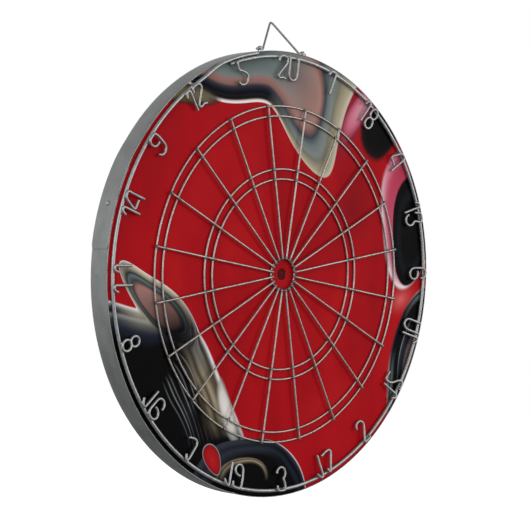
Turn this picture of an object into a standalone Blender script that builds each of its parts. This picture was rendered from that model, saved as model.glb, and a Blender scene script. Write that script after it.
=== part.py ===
"""A paper-wound dartboard with a welded wire spider and a wire number ring that turns.

Metres, +Z up. The face looks along -Y, +X is to the right of someone facing the board, and the
origin is the centre of the back, on the plane of the wall that the board hangs against.
"""

import math

import bmesh
import bpy
from mathutils import Matrix, Vector

MM = 0.001
GAP = 0.3 * MM  # clearance kept between two pieces that touch

# Board
BOARD_RADIUS = 224.3 * MM
BOARD_DEPTH = 24.0 * MM
BACK_THICKNESS = 0.8 * MM
PRINT_THICKNESS = 0.6 * MM
ROUND_SIDES = 96
PLUG_SIDES = 24
PLUG_RADIUS = 6.2 * MM
PRINT_HOLE_RADIUS = 5.9 * MM

# Steel band: one strip whose ends lap over each other, pinned by a nail through both layers
BAND_THICKNESS = 0.7 * MM
BAND_STEP_DEG = 3.75
LAP_START_DEG = 152.0
LAP_END_DEG = 174.0
LAP_RAMP_DEG = 8.0
NAIL_DEG = 163.0
NAIL_HEAD_RADIUS = 2.4 * MM
NAIL_HEAD_HEIGHT = 0.9 * MM
NAIL_SHANK_RADIUS = 0.8 * MM
NAIL_LENGTH = 14.0 * MM

# Spider: playing sizes are measured to the outside of the outer wires
SPIDER_WIRE_RADIUS = 1.0 * MM
DOUBLE_OUTSIDE_RADIUS = 170.0 * MM
TREBLE_OUTSIDE_RADIUS = 107.0 * MM
BED_WIDTH = 8.0 * MM
BULL_RING_RADIUS = 16.4 * MM
RADIAL_START_RADIUS = 15.2 * MM
RADIAL_END_RADIUS = 170.6 * MM

# Number ring: a hoop with lapped ends, and bent-wire numbers welded on its front
NUMBERS = (20, 1, 18, 4, 13, 6, 10, 15, 2, 17, 3, 19, 7, 16, 8, 11, 14, 9, 12, 5)
SECTOR_DEG = 18.0
FEET_OUTWARD = (10, 15, 2, 17, 3, 19, 7, 16, 8)  # these stand with their feet on the hoop
HOOP_WIRE_RADIUS = 1.8 * MM
HOOP_RADIUS = 217.8 * MM
HOOP_LAP_DEG = (100.0, 110.5)
HOOP_RAMP_DEG = (112.0, 122.0)
HOOP_STEP_DEG = 4.0
RING_CENTRE = Vector((-1.6, 0, 0.5)) * MM  # a loosely held ring lies a little off the middle
NUMBER_WIRE_RADIUS = 1.3 * MM
NUMBER_HEIGHT = 23.3 * MM
NUMBER_OUTSIDE_RADIUS = 218.2 * MM
NUMBER_LEAN = 2.8 * MM  # how much nearer the face a number's free end is than its hoop end
LINK_WIRE_RADIUS = 0.9 * MM

# Hanger: a wire bail on two staples
HANGER_WIRE_RADIUS = 1.1 * MM
HANGER_HEIGHT = 34.6 * MM
HANGER_HALF_WIDTH = 24.2 * MM
HANGER_FOOT_END = 35.0 * MM
HANGER_AXIS = Vector((0, -17.2, 224.5)) * MM
STAPLE_X = 30.0 * MM
STAPLE_WIRE_RADIUS = 0.8 * MM
STAPLE_HALF_SPAN = 2.3 * MM
STAPLE_LENGTH = 14.7 * MM

# Planes along Y, worked out from the sizes above
FACE_Y = -BOARD_DEPTH
RING_Y = FACE_Y - GAP - SPIDER_WIRE_RADIUS
RADIAL_Y = RING_Y - 2 * SPIDER_WIRE_RADIUS - GAP
HOOP_Y = FACE_Y - GAP - HOOP_WIRE_RADIUS
NUMBER_Y = HOOP_Y - HOOP_WIRE_RADIUS - GAP - NUMBER_WIRE_RADIUS
CORE_RADIUS = BOARD_RADIUS - BAND_THICKNESS - GAP
CORE_BACK_Y = -BACK_THICKNESS - GAP
CORE_FRONT_Y = FACE_Y + PRINT_THICKNESS + GAP

STEEL = ((0.42, 0.42, 0.41), 0.38, 1.0)
DULL_STEEL = ((0.30, 0.31, 0.31), 0.48, 1.0)


# --- scene and object helpers ---------------------------------------------------------------


def clear_scene():
    for obj in list(bpy.data.objects):
        bpy.data.objects.remove(obj, do_unlink=True)


def new_collection(name):
    collection = bpy.data.collections.new(name)
    bpy.context.scene.collection.children.link(collection)
    return collection


def give_material(obj, colour, roughness, metallic):
    material = bpy.data.materials.new(obj.name)
    material.use_nodes = True
    shader = material.node_tree.nodes["Principled BSDF"]
    shader.inputs["Base Color"].default_value = (*colour, 1.0)
    shader.inputs["Roughness"].default_value = roughness
    shader.inputs["Metallic"].default_value = metallic
    obj.data.materials.append(material)


def add_part(name, data, look):
    obj = bpy.data.objects.new(name, data)
    parts.objects.link(obj)
    give_material(obj, *look)
    return obj


def add_helper(name, data):
    obj = bpy.data.objects.new(name, data)
    helpers.objects.link(obj)
    obj.hide_render = True
    obj.display_type = "WIRE"
    return obj


def join_with(obj, other, operation):
    modifier = obj.modifiers.new(operation.title(), "BOOLEAN")
    modifier.operation = operation
    modifier.solver = "EXACT"
    modifier.object = other


def shade_round(mesh):
    mesh.shade_smooth()
    mesh.set_sharp_from_angle(angle=math.radians(40))


def rod_mesh(name, radius, start, end, sides):
    """A cylinder from start to end."""
    start, end = Vector(start), Vector(end)
    along = end - start
    turn = along.to_track_quat("Z", "Y").to_matrix().to_4x4()
    bm = bmesh.new()
    bmesh.ops.create_cone(
        bm,
        cap_ends=True,
        segments=sides,
        radius1=radius,
        radius2=radius,
        depth=along.length,
        matrix=Matrix.Translation((start + end) / 2) @ turn,
    )
    mesh = bpy.data.meshes.new(name)
    bm.to_mesh(mesh)
    bm.free()
    shade_round(mesh)
    return mesh


def disc_mesh(name, radius, back_y, front_y, sides):
    """A round disc about the board's own centre line."""
    return rod_mesh(name, radius, (0, back_y, 0), (0, front_y, 0), sides)


def wire_curve(name, points, radius, extra_sides=1, closed=False):
    """A round wire through the points. Its section has 4 + 2 * extra_sides sides."""
    curve = bpy.data.curves.new(name, "CURVE")
    curve.dimensions = "3D"
    curve.bevel_depth = radius
    curve.bevel_resolution = extra_sides
    curve.use_fill_caps = not closed
    spline = curve.splines.new("POLY")
    spline.points.add(len(points) - 1)
    for point, place in zip(spline.points, points):
        point.co = (*place, 1.0)
    spline.use_cyclic_u = closed
    return curve


def wire_mesh(name, points, radius, extra_sides=1, closed=False):
    """The same wire as a closed mesh, so that it can be joined with others."""
    guide = add_helper(name + "_guide", wire_curve(name, points, radius, extra_sides, closed))
    bpy.context.view_layer.update()
    evaluated = guide.evaluated_get(bpy.context.evaluated_depsgraph_get())
    mesh = bpy.data.meshes.new_from_object(evaluated)
    bm = bmesh.new()
    bm.from_mesh(mesh)
    bmesh.ops.remove_doubles(bm, verts=bm.verts, dist=0.01 * MM)
    bm.to_mesh(mesh)
    bm.free()
    bpy.data.objects.remove(guide, do_unlink=True)
    shade_round(mesh)
    return mesh


# --- geometry helpers -----------------------------------------------------------------------


def polar(radius, degrees, y):
    angle = math.radians(degrees)
    return Vector((radius * math.cos(angle), y, radius * math.sin(angle)))


def arc(centre, radii, start, end, step=30.0):
    """Points along an elliptical arc in a drawing plane, from start to end in degrees."""
    count = max(2, math.ceil(abs(end - start) / step))
    angles = [math.radians(start + (end - start) * i / count) for i in range(count + 1)]
    return [
        (centre[0] + radii[0] * math.cos(angle), centre[1] + radii[1] * math.sin(angle))
        for angle in angles
    ]


def between(value, start, end):
    """How far value has come from start to end, eased and kept within 0 and 1."""
    share = min(1.0, max(0.0, (value - start) / (end - start)))
    return share * share * (3 - 2 * share)


# --- board ----------------------------------------------------------------------------------


def make_discs():
    """Back sheet, wound core with its plug, and the printed sheet on the front."""
    back = disc_mesh("back_cover", CORE_RADIUS, 0, -BACK_THICKNESS, ROUND_SIDES)
    add_part("back_cover", back, ((0.035, 0.033, 0.032), 0.85, 0.0))

    core = disc_mesh("wound_core", CORE_RADIUS, CORE_BACK_Y, CORE_FRONT_Y, ROUND_SIDES)
    core = add_part("wound_core", core, ((0.32, 0.23, 0.14), 0.9, 0.0))
    bore = disc_mesh("plug_bore", PLUG_RADIUS + GAP, GAP, FACE_Y - GAP, PLUG_SIDES)
    join_with(core, add_helper("plug_bore", bore), "DIFFERENCE")

    plug = disc_mesh("bull_plug", PLUG_RADIUS, CORE_BACK_Y, CORE_FRONT_Y, PLUG_SIDES)
    add_part("bull_plug", plug, ((0.09, 0.012, 0.012), 0.85, 0.0))

    sheet_back_y = FACE_Y + PRINT_THICKNESS
    sheet = disc_mesh("printed_face", CORE_RADIUS, sheet_back_y, FACE_Y, ROUND_SIDES)
    sheet = add_part("printed_face", sheet, ((0.35, 0.010, 0.015), 0.45, 0.0))
    hole = disc_mesh("print_hole", PRINT_HOLE_RADIUS, sheet_back_y + GAP, FACE_Y - GAP, PLUG_SIDES)
    join_with(sheet, add_helper("print_hole", hole), "DIFFERENCE")
    return core


def make_band():
    """The steel strip, wound once round the core and a little more, so that its ends lap."""
    layer = BAND_THICKNESS + GAP
    base_radius = BOARD_RADIUS - BAND_THICKNESS / 2
    first, last = LAP_START_DEG + 1.0, LAP_END_DEG + 360
    count = round((last - first) / BAND_STEP_DEG)
    bm = bmesh.new()
    row = []
    for i in range(count + 1):
        degrees = first + (last - first) * i / count
        rise = between(degrees, LAP_START_DEG + 360 - LAP_RAMP_DEG, LAP_START_DEG + 360)
        row.append(bm.verts.new(polar(base_radius + layer * rise, degrees, 0)))
    edges = [bm.edges.new(pair) for pair in zip(row, row[1:])]
    swept = bmesh.ops.extrude_edge_only(bm, edges=edges)["geom"]
    front_row = [item for item in swept if isinstance(item, bmesh.types.BMVert)]
    bmesh.ops.translate(bm, verts=front_row, vec=(0, FACE_Y, 0))
    bmesh.ops.recalc_face_normals(bm, faces=bm.faces)
    mesh = bpy.data.meshes.new("rim_band")
    bm.to_mesh(mesh)
    bm.free()
    shade_round(mesh)
    band = add_part("rim_band", mesh, DULL_STEEL)
    solidify = band.modifiers.new("Thickness", "SOLIDIFY")
    solidify.thickness = BAND_THICKNESS
    solidify.offset = 0
    return band


def make_band_nail(band, core):
    """A round-headed nail through the band's lap into the core, pointing at the board's centre."""
    surface = BOARD_RADIUS + BAND_THICKNESS + GAP
    profile = [
        (0, NAIL_HEAD_HEIGHT),
        (0.55 * NAIL_HEAD_RADIUS, 0.85 * NAIL_HEAD_HEIGHT),
        (0.9 * NAIL_HEAD_RADIUS, 0.4 * NAIL_HEAD_HEIGHT),
        (NAIL_HEAD_RADIUS, 0),
        (NAIL_SHANK_RADIUS, 0),
        (NAIL_SHANK_RADIUS, -0.9 * NAIL_LENGTH),
        (0, -NAIL_LENGTH),
    ]
    bm = bmesh.new()
    verts = [bm.verts.new((x, 0, z)) for x, z in profile]
    for pair in zip(verts, verts[1:]):
        bm.edges.new(pair)
    mesh = bpy.data.meshes.new("band_nail")
    bm.to_mesh(mesh)
    bm.free()
    nail = add_part("band_nail", mesh, STEEL)
    screw = nail.modifiers.new("Turn", "SCREW")
    screw.steps = screw.render_steps = 12
    screw.use_merge_vertices = True
    screw.merge_threshold = 0.01 * MM
    outward = polar(1, NAIL_DEG, 0)
    nail.location = polar(surface + GAP, NAIL_DEG, FACE_Y / 2)
    nail.rotation_euler = outward.to_track_quat("Z", "Y").to_euler()

    start = polar(surface + 2 * MM, NAIL_DEG, FACE_Y / 2)
    end = polar(surface - NAIL_LENGTH - 1 * MM, NAIL_DEG, FACE_Y / 2)
    hole = rod_mesh("nail_hole", NAIL_SHANK_RADIUS + GAP, start, end, 12)
    hole = add_helper("nail_hole", hole)
    join_with(band, hole, "DIFFERENCE")
    join_with(core, hole, "DIFFERENCE")


# --- hanger ---------------------------------------------------------------------------------


def make_hanger():
    """The bail, drawn upright about its axis and then leant back until it meets the wall."""
    apex_to_wall = HANGER_WIRE_RADIUS + GAP
    lean = math.asin((-HANGER_AXIS.y - apex_to_wall) / HANGER_HEIGHT)
    right = [
        (HANGER_HALF_WIDTH * 0.09, HANGER_HEIGHT - 1.7 * MM),
        (HANGER_HALF_WIDTH, 2.4 * MM),
        (HANGER_HALF_WIDTH + 0.8 * MM, 0.8 * MM),
        (HANGER_HALF_WIDTH + 2.4 * MM, 0),
        (HANGER_FOOT_END, 0),
    ]
    left = [(-x, up) for x, up in reversed(right)]
    outline = left + [(0, HANGER_HEIGHT)] + right
    points = [(x, up * math.sin(lean), up * math.cos(lean)) for x, up in outline]
    hanger = add_part("hanger", wire_curve("hanger", points, HANGER_WIRE_RADIUS, 2), STEEL)
    hanger.location = HANGER_AXIS


def make_staple(name, x, band, core):
    """A wire staple over one foot of the hanger, its legs driven through the band."""
    rise = HANGER_WIRE_RADIUS + GAP + STAPLE_WIRE_RADIUS
    corner = 0.7 * MM
    half = [
        (STAPLE_HALF_SPAN, rise - STAPLE_LENGTH),
        (STAPLE_HALF_SPAN, rise - corner),
        (STAPLE_HALF_SPAN - corner, rise),
    ]
    outline = half + [(-y, z) for y, z in reversed(half)]
    points = [(0, y, z) for y, z in outline]
    staple = add_part(name, wire_curve(name, points, STAPLE_WIRE_RADIUS), STEEL)
    staple.location = HANGER_AXIS + Vector((x, 0, 0))
    for side in (-1, 1):
        foot = HANGER_AXIS + Vector((x, side * STAPLE_HALF_SPAN, 0))
        tip = foot + Vector((0, 0, rise - STAPLE_LENGTH - 1 * MM))
        hole_name = f"{name}_hole_{side}"
        hole = rod_mesh(hole_name, STAPLE_WIRE_RADIUS + GAP, foot, tip, 10)
        hole = add_helper(hole_name, hole)
        join_with(band, hole, "DIFFERENCE")
        join_with(core, hole, "DIFFERENCE")


# --- spider ---------------------------------------------------------------------------------


def make_spider():
    """Five rings on the face, and twenty straight wires welded across them."""
    pitch = BED_WIDTH + 2 * SPIDER_WIRE_RADIUS
    double_outer = DOUBLE_OUTSIDE_RADIUS - SPIDER_WIRE_RADIUS
    treble_outer = TREBLE_OUTSIDE_RADIUS - SPIDER_WIRE_RADIUS
    rings = {
        "double_outer": (double_outer, 64),
        "double_inner": (double_outer - pitch, 64),
        "treble_outer": (treble_outer, 48),
        "treble_inner": (treble_outer - pitch, 48),
        "bull": (BULL_RING_RADIUS, 24),
    }
    for ring, (radius, count) in rings.items():
        points = [polar(radius, 360 * i / count, RING_Y) for i in range(count)]
        name = "spider_ring_" + ring
        curve = wire_curve(name, points, SPIDER_WIRE_RADIUS, closed=True)
        add_part(name, curve, STEEL)

    for i, number in enumerate(NUMBERS):
        following = NUMBERS[(i + 1) % len(NUMBERS)]
        degrees = 90 - SECTOR_DEG * (i + 0.5)
        ends = [polar(r, degrees, RADIAL_Y) for r in (RADIAL_START_RADIUS, RADIAL_END_RADIUS)]
        name = f"spider_wire_{number}_{following}"
        add_part(name, wire_curve(name, ends, SPIDER_WIRE_RADIUS), STEEL)


# --- number ring ----------------------------------------------------------------------------
# Digits are drawn in millimetres: x to the right, y up, from 0 to TOP. Each is the line of one
# bent wire. "Hung" digits have their tops on the hoop, "stood" digits have their feet on it.

TOP = NUMBER_HEIGHT / MM
FLICK = 5.5  # how far a wire's turned-in end reaches away from the hoop


def hung_1():
    return [(-6.5, TOP - FLICK), (-4.5, TOP), (0, TOP), (0, 0.5)]


def wide_1():
    return [(-9.4, TOP - FLICK), (-7.2, TOP), (0, TOP), (0, 0.5)]


def stood_1():
    return [(-7.5, FLICK), (-3.5, 0), (0, 0), (0, TOP)]


def hung_2():
    bow = [(0, TOP - FLICK), (1.5, TOP), (8, TOP)] + arc((8, TOP - 4.5), (4, 4.5), 60, -30)
    return bow + [(0.5, 4.2), (1.2, 2.2), (4, 1.4), (7.5, 2.6), (11.5, 0.6)]


def stood_2():
    return arc((5.8, 17.6), (5.8, 5.7), 180, -30) + [(3, 4), (0.6, 0.8), (2.4, 0), (11, 0)]


def hung_3():
    brow = [(0.5, TOP - 9), (3.5, TOP), (11.5, TOP), (13, TOP - 3)]
    return brow + [(9, TOP - 11.5)] + arc((6.3, 6.2), (6.2, 6), 35, -180)


def stood_3():
    head = arc((6.2, 17), (6, 6.3), 180, -20) + [(8.4, 11.6), (10.6, 7.5), (11, 2.4)]
    return head + [(9.8, 0), (1.8, 0), (0.3, 1.5), (0.3, FLICK)]


def hung_4():
    stem = [(11.5, 0), (11.5, TOP), (4.6, TOP)]
    return stem + [(-1.2, TOP - 13), (-0.9, TOP - 15.4), (8.5, TOP - 16.6)]


def hung_5():
    back = [(10, TOP), (0.3, TOP), (0.8, TOP - 8), (5, TOP - 9.6)]
    return back + arc((5.6, 5.9), (6.9, 6.4), 60, -170)


def stood_5():
    head = [(11.5, TOP - 0.5), (2, TOP), (0.6, TOP - 3), (2, TOP - 9), (5.5, TOP - 12.5)]
    return head + [(10, 7), (12.2, 3), (11, 0), (2, 0)]


def six():
    hook = arc((5.6, TOP - 6.2), (5.6, 6.2), -15, 180)
    return hook + arc((6.2, 5.9), (6.2, 5.9), 180, 480) + [(3.3, 11.4)]


def stood_7():
    return [(0, TOP - 3), (7, TOP), (11, TOP), (13.2, TOP - 3), (10.6, 2), (8.6, 0), (5.5, FLICK)]


def leaning_7():
    top = [(-1.8, TOP - 3.2), (7, TOP - 1), (11.5, TOP - 1), (13.2, TOP - 4)]
    return top + [(5.5, 1.5), (4, 0), (1.5, FLICK)]


def eight():
    """Two loops, the upper a little narrower, which cross in the middle."""
    lower = arc((6, 6.2), (5.4, 6.2), 0, 360)[:-1]
    upper = arc((6, TOP - 5.9), (4.9, 5.9), 0, 360)[:-1]
    return lower, upper


def hung_9():
    tail = arc((6.8, 6.4), (6.2, 6.1), -170, 0) + [(13, TOP - 6), (11.5, TOP - 0.6)]
    loop = [(10, TOP), (3.4, TOP), (1, TOP - 2.6), (1.2, TOP - 7), (3.6, TOP - 10)]
    return tail + loop + [(7, TOP - 11), (10, TOP - 10.6)]


def stood_9():
    foot = [(0.5, FLICK), (1.8, 0), (10.8, 0), (12.8, 2.4), (13.2, 9), (12.4, 16.5)]
    return foot + arc((6.7, 17.8), (5.4, 5.5), 15, 250) + [(9.4, 12)]


def hung_0():
    return [(0, TOP)] + arc((6, 6), (6, 6), 180, 360) + [(12, TOP)]


def stood_0():
    return [(0, 0)] + arc((5.8, TOP - 6), (5.8, 6), 180, 0) + [(11.6, 0)]


# Each number's digits, with where each starts along the number. The number's middle is at 0.
LAYOUT = {
    20: ((hung_2, -12.4), (hung_0, 2.8)),
    1: ((wide_1, 2.7),),
    18: ((hung_1, -5.0), (eight, -0.4)),
    4: ((hung_4, -6.2),),
    13: ((hung_1, -5.8), (hung_3, -2.3)),
    6: ((six, -6.3),),
    10: ((stood_1, -3.0), (stood_0, 1.8)),
    15: ((stood_1, -3.4), (stood_5, 0.8)),
    2: ((stood_2, -4.5),),
    17: ((stood_1, -5.2), (leaning_7, 1.1)),
    3: ((stood_3, -3.5),),
    19: ((stood_1, -3.6), (stood_9, 0.2)),
    7: ((stood_7, -7.0),),
    16: ((stood_1, -5.6), (six, 0.0)),
    8: ((eight, -5.9),),
    11: ((hung_1, -10.0), (hung_1, 8.2)),
    14: ((hung_1, -5.2), (hung_4, -1.6)),
    9: ((hung_9, -7.5),),
    12: ((hung_1, -3.4), (hung_2, -0.5)),
    5: ((hung_5, -3.3),),
}


def number_frame(index):
    """A function that puts a drawn point of one number in its place on the ring."""
    degrees = 90 - SECTOR_DEG * index
    clockwise = polar(1, degrees - 90, 0)
    stands = NUMBERS[index] in FEET_OUTWARD
    right = -clockwise if stands else clockwise

    def place(point):
        inward = (point[1] if stands else TOP - point[1]) * MM
        y = NUMBER_Y + NUMBER_LEAN * inward / NUMBER_HEIGHT
        on_ring = polar(NUMBER_OUTSIDE_RADIUS - inward, degrees, y) + right * point[0] * MM
        return RING_CENTRE + on_ring

    return place


def link_reach(digit):
    """How far into a second digit its link runs before it is inside that digit's wire."""
    reaches = {
        hung_0: 0,
        stood_0: 0,
        hung_1: -3,
        hung_2: 3,
        hung_3: 5,
        hung_4: 7,
        stood_5: 4,
        leaning_7: 4,
        stood_9: 4,
        six: 6,
        eight: 6,
    }
    return reaches[digit]


def make_number(index):
    """One number as a single wire body: its digits, linked along the hoop where it has two."""
    number = NUMBERS[index]
    name = f"number_{number}"
    place = number_frame(index)
    hoop_side = 0 if number in FEET_OUTWARD else TOP
    wires = []
    for digit, start in LAYOUT[number]:
        drawn = digit()
        closed = isinstance(drawn, tuple)
        for line in drawn if closed else (drawn,):
            points = [place((x + start, y)) for x, y in line]
            wires.append((points, NUMBER_WIRE_RADIUS, closed))
    if len(LAYOUT[number]) > 1:
        (_, link_start), (last_digit, last_start) = LAYOUT[number]
        link_end = last_start + link_reach(last_digit)
        link = [place((link_start, hoop_side)), place((link_end, hoop_side))]
        wires.append((link, LINK_WIRE_RADIUS, False))
    meshes = [
        wire_mesh(f"{name}_{i}", points, radius, closed=closed)
        for i, (points, radius, closed) in enumerate(wires)
    ]
    obj = add_part(name, meshes[0], STEEL)
    for i, mesh in enumerate(meshes[1:], 1):
        join_with(obj, add_helper(f"{name}_{i}", mesh), "UNION")


def make_hoop():
    """The hoop's wire starts outside its own end, eases in, and goes once round to its end."""
    lap_pitch = 2 * HOOP_WIRE_RADIUS + 1.3 * GAP
    first, last = HOOP_LAP_DEG[0], HOOP_LAP_DEG[1] + 360
    count = round((last - first) / HOOP_STEP_DEG)
    points = []
    for i in range(count + 1):
        degrees = first + (last - first) * i / count
        radius = HOOP_RADIUS + lap_pitch * (1 - between(degrees, *HOOP_RAMP_DEG))
        points.append(RING_CENTRE + polar(radius, degrees, HOOP_Y))
    add_part("number_hoop", wire_curve("number_hoop", points, HOOP_WIRE_RADIUS, 2), STEEL)


clear_scene()
parts = new_collection("dartboard")
helpers = new_collection("dartboard_cutters")
wound_core = make_discs()
rim_band = make_band()
make_band_nail(rim_band, wound_core)
make_hanger()
make_staple("hanger_staple_left", -STAPLE_X, rim_band, wound_core)
make_staple("hanger_staple_right", STAPLE_X, rim_band, wound_core)
make_spider()
make_hoop()
for slot in range(len(NUMBERS)):
    make_number(slot)
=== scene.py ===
"""The looks of a wire-cage dartboard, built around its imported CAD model.

Metres, +Z up, in the model's own frame: the face looks along -Y and the wall is the plane y = 0.
Round wires are swept again with smooth bends, welds and drawn-wire detail. The sheets, the band and
the small fittings are rebuilt finer. The wound core is the CAD solid with a paper material.
"""

import math

import bmesh
import bpy
from mathutils import Matrix, Vector, noise


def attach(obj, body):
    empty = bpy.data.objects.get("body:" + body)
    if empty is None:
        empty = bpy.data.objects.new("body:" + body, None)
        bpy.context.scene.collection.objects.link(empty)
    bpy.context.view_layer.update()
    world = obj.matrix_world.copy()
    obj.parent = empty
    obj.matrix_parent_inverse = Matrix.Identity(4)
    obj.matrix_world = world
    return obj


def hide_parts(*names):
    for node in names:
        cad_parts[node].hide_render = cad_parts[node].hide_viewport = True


MM = 0.001
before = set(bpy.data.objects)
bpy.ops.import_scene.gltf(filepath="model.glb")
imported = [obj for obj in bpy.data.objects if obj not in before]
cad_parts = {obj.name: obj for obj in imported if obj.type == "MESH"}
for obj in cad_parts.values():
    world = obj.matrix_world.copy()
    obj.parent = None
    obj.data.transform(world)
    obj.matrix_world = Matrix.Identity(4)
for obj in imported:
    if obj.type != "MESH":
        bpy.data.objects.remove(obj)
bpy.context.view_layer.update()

# Sizes shared with the CAD model
GAP = 0.3 * MM
BOARD_RADIUS = 224.3 * MM
BOARD_DEPTH = 24.0 * MM
BACK_THICKNESS = 0.8 * MM
PRINT_THICKNESS = 0.6 * MM
PLUG_RADIUS = 6.2 * MM
PRINT_HOLE_RADIUS = 5.9 * MM
BAND_THICKNESS = 0.7 * MM
LAP_START_DEG, LAP_END_DEG, LAP_RAMP_DEG = 152.0, 174.0, 8.0
NAIL_DEG = 163.0
NAIL_HEAD_RADIUS, NAIL_HEAD_HEIGHT = 2.4 * MM, 0.9 * MM
NAIL_SHANK_RADIUS, NAIL_LENGTH = 0.8 * MM, 14.0 * MM
SPIDER_WIRE_RADIUS = 1.0 * MM
BULL_RING_RADIUS = 16.4 * MM
SPIDER_RINGS = {
    "double_outer": 169.0 * MM,
    "double_inner": 159.0 * MM,
    "treble_outer": 106.0 * MM,
    "treble_inner": 96.0 * MM,
    "bull": BULL_RING_RADIUS,
}
RADIAL_START_RADIUS, RADIAL_END_RADIUS = 15.2 * MM, 170.6 * MM
NUMBERS = (20, 1, 18, 4, 13, 6, 10, 15, 2, 17, 3, 19, 7, 16, 8, 11, 14, 9, 12, 5)
SECTOR_DEG = 18.0
FEET_OUTWARD = (10, 15, 2, 17, 3, 19, 7, 16, 8)
HOOP_WIRE_RADIUS = 1.8 * MM
HOOP_RADIUS = 217.8 * MM
HOOP_LAP_DEG, HOOP_RAMP_DEG = (100.0, 110.5), (112.0, 122.0)
RING_CENTRE = Vector((-1.6, 0, 0.5)) * MM
NUMBER_WIRE_RADIUS = 1.3 * MM
NUMBER_HEIGHT = 23.3 * MM
NUMBER_OUTSIDE_RADIUS = 218.2 * MM
NUMBER_LEAN = 2.8 * MM
HANGER_WIRE_RADIUS = 1.1 * MM
HANGER_HEIGHT, HANGER_HALF_WIDTH, HANGER_FOOT_END = 34.6 * MM, 24.2 * MM, 35.0 * MM
HANGER_AXIS = Vector((0, -17.2, 224.5)) * MM
STAPLE_X = 30.0 * MM
STAPLE_WIRE_RADIUS, STAPLE_HALF_SPAN, STAPLE_LENGTH = 0.8 * MM, 2.3 * MM, 14.7 * MM

FACE_Y = -BOARD_DEPTH
RING_Y = FACE_Y - GAP - SPIDER_WIRE_RADIUS
RADIAL_Y = RING_Y - 2 * SPIDER_WIRE_RADIUS - GAP
HOOP_Y = FACE_Y - GAP - HOOP_WIRE_RADIUS
NUMBER_Y = HOOP_Y - HOOP_WIRE_RADIUS - GAP - NUMBER_WIRE_RADIUS
CORE_RADIUS = BOARD_RADIUS - BAND_THICKNESS - GAP
CORE_FRONT_Y = FACE_Y + PRINT_THICKNESS + GAP


# --- geometry helpers -----------------------------------------------------------------------


def polar(radius, degrees, y):
    angle = math.radians(degrees)
    return Vector((radius * math.cos(angle), y, radius * math.sin(angle)))


def between(value, start, end):
    """How far value has come from start to end, eased and kept within 0 and 1."""
    share = min(1.0, max(0.0, (value - start) / (end - start)))
    return share * share * (3 - 2 * share)


def rounded(points, setback, closed=False, steps=6):
    """The same line with each corner eased into a bend."""
    points = [Vector(point) for point in points]
    last = len(points) - 1
    line = []
    for i, corner in enumerate(points):
        if not closed and i in (0, last):
            line.append(corner)
            continue
        before, after = points[i - 1], points[(i + 1) % len(points)]
        start = corner.lerp(before, min(0.5, setback / (before - corner).length))
        end = corner.lerp(after, min(0.5, setback / (after - corner).length))
        for k in range(steps + 1):
            t = k / steps
            line.append(start.lerp(corner, t).lerp(corner.lerp(end, t), t))
    return line


def resampled(points, step, closed=False):
    """Points an even distance apart along the line, about one step each."""
    line = points + points[:1] if closed else points
    reach = [0.0]
    for a, b in zip(line, line[1:]):
        reach.append(reach[-1] + (b - a).length)
    count = max(2, round(reach[-1] / step))
    result, k = [], 0
    for i in range(count if closed else count + 1):
        target = reach[-1] * i / count
        while k < len(line) - 2 and reach[k + 1] < target:
            k += 1
        span = reach[k + 1] - reach[k]
        share = (target - reach[k]) / span if span > 1e-9 else 0.0
        result.append(line[k].lerp(line[k + 1], min(1.0, max(0.0, share))))
    return result


# noise_vector is seeded from the clock until a seed is set, and the wires would differ in every run.
WANDER_SEED = 3
noise.seed_set(WANDER_SEED)


def wandered(points, amount, size, offset):
    """The line as a hand or a jig leaves it: a fraction of a millimetre off true, in the face's plane."""
    moved = []
    for point in points:
        spot = point / size + Vector((offset, 0, 0))
        shift = noise.noise_vector(spot) * amount
        moved.append(point + Vector((shift.x, 0, shift.z)))
    return moved


def smooth(mesh, angle=40):
    mesh.shade_smooth()
    mesh.set_sharp_from_angle(angle=math.radians(angle))
    return mesh


def mesh_of(bm, name):
    bmesh.ops.recalc_face_normals(bm, faces=bm.faces)
    if bm.calc_volume(signed=True) < 0:
        bmesh.ops.reverse_faces(bm, faces=bm.faces)
    mesh = bpy.data.meshes.new(name)
    bm.to_mesh(mesh)
    bm.free()
    return smooth(mesh)


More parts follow.
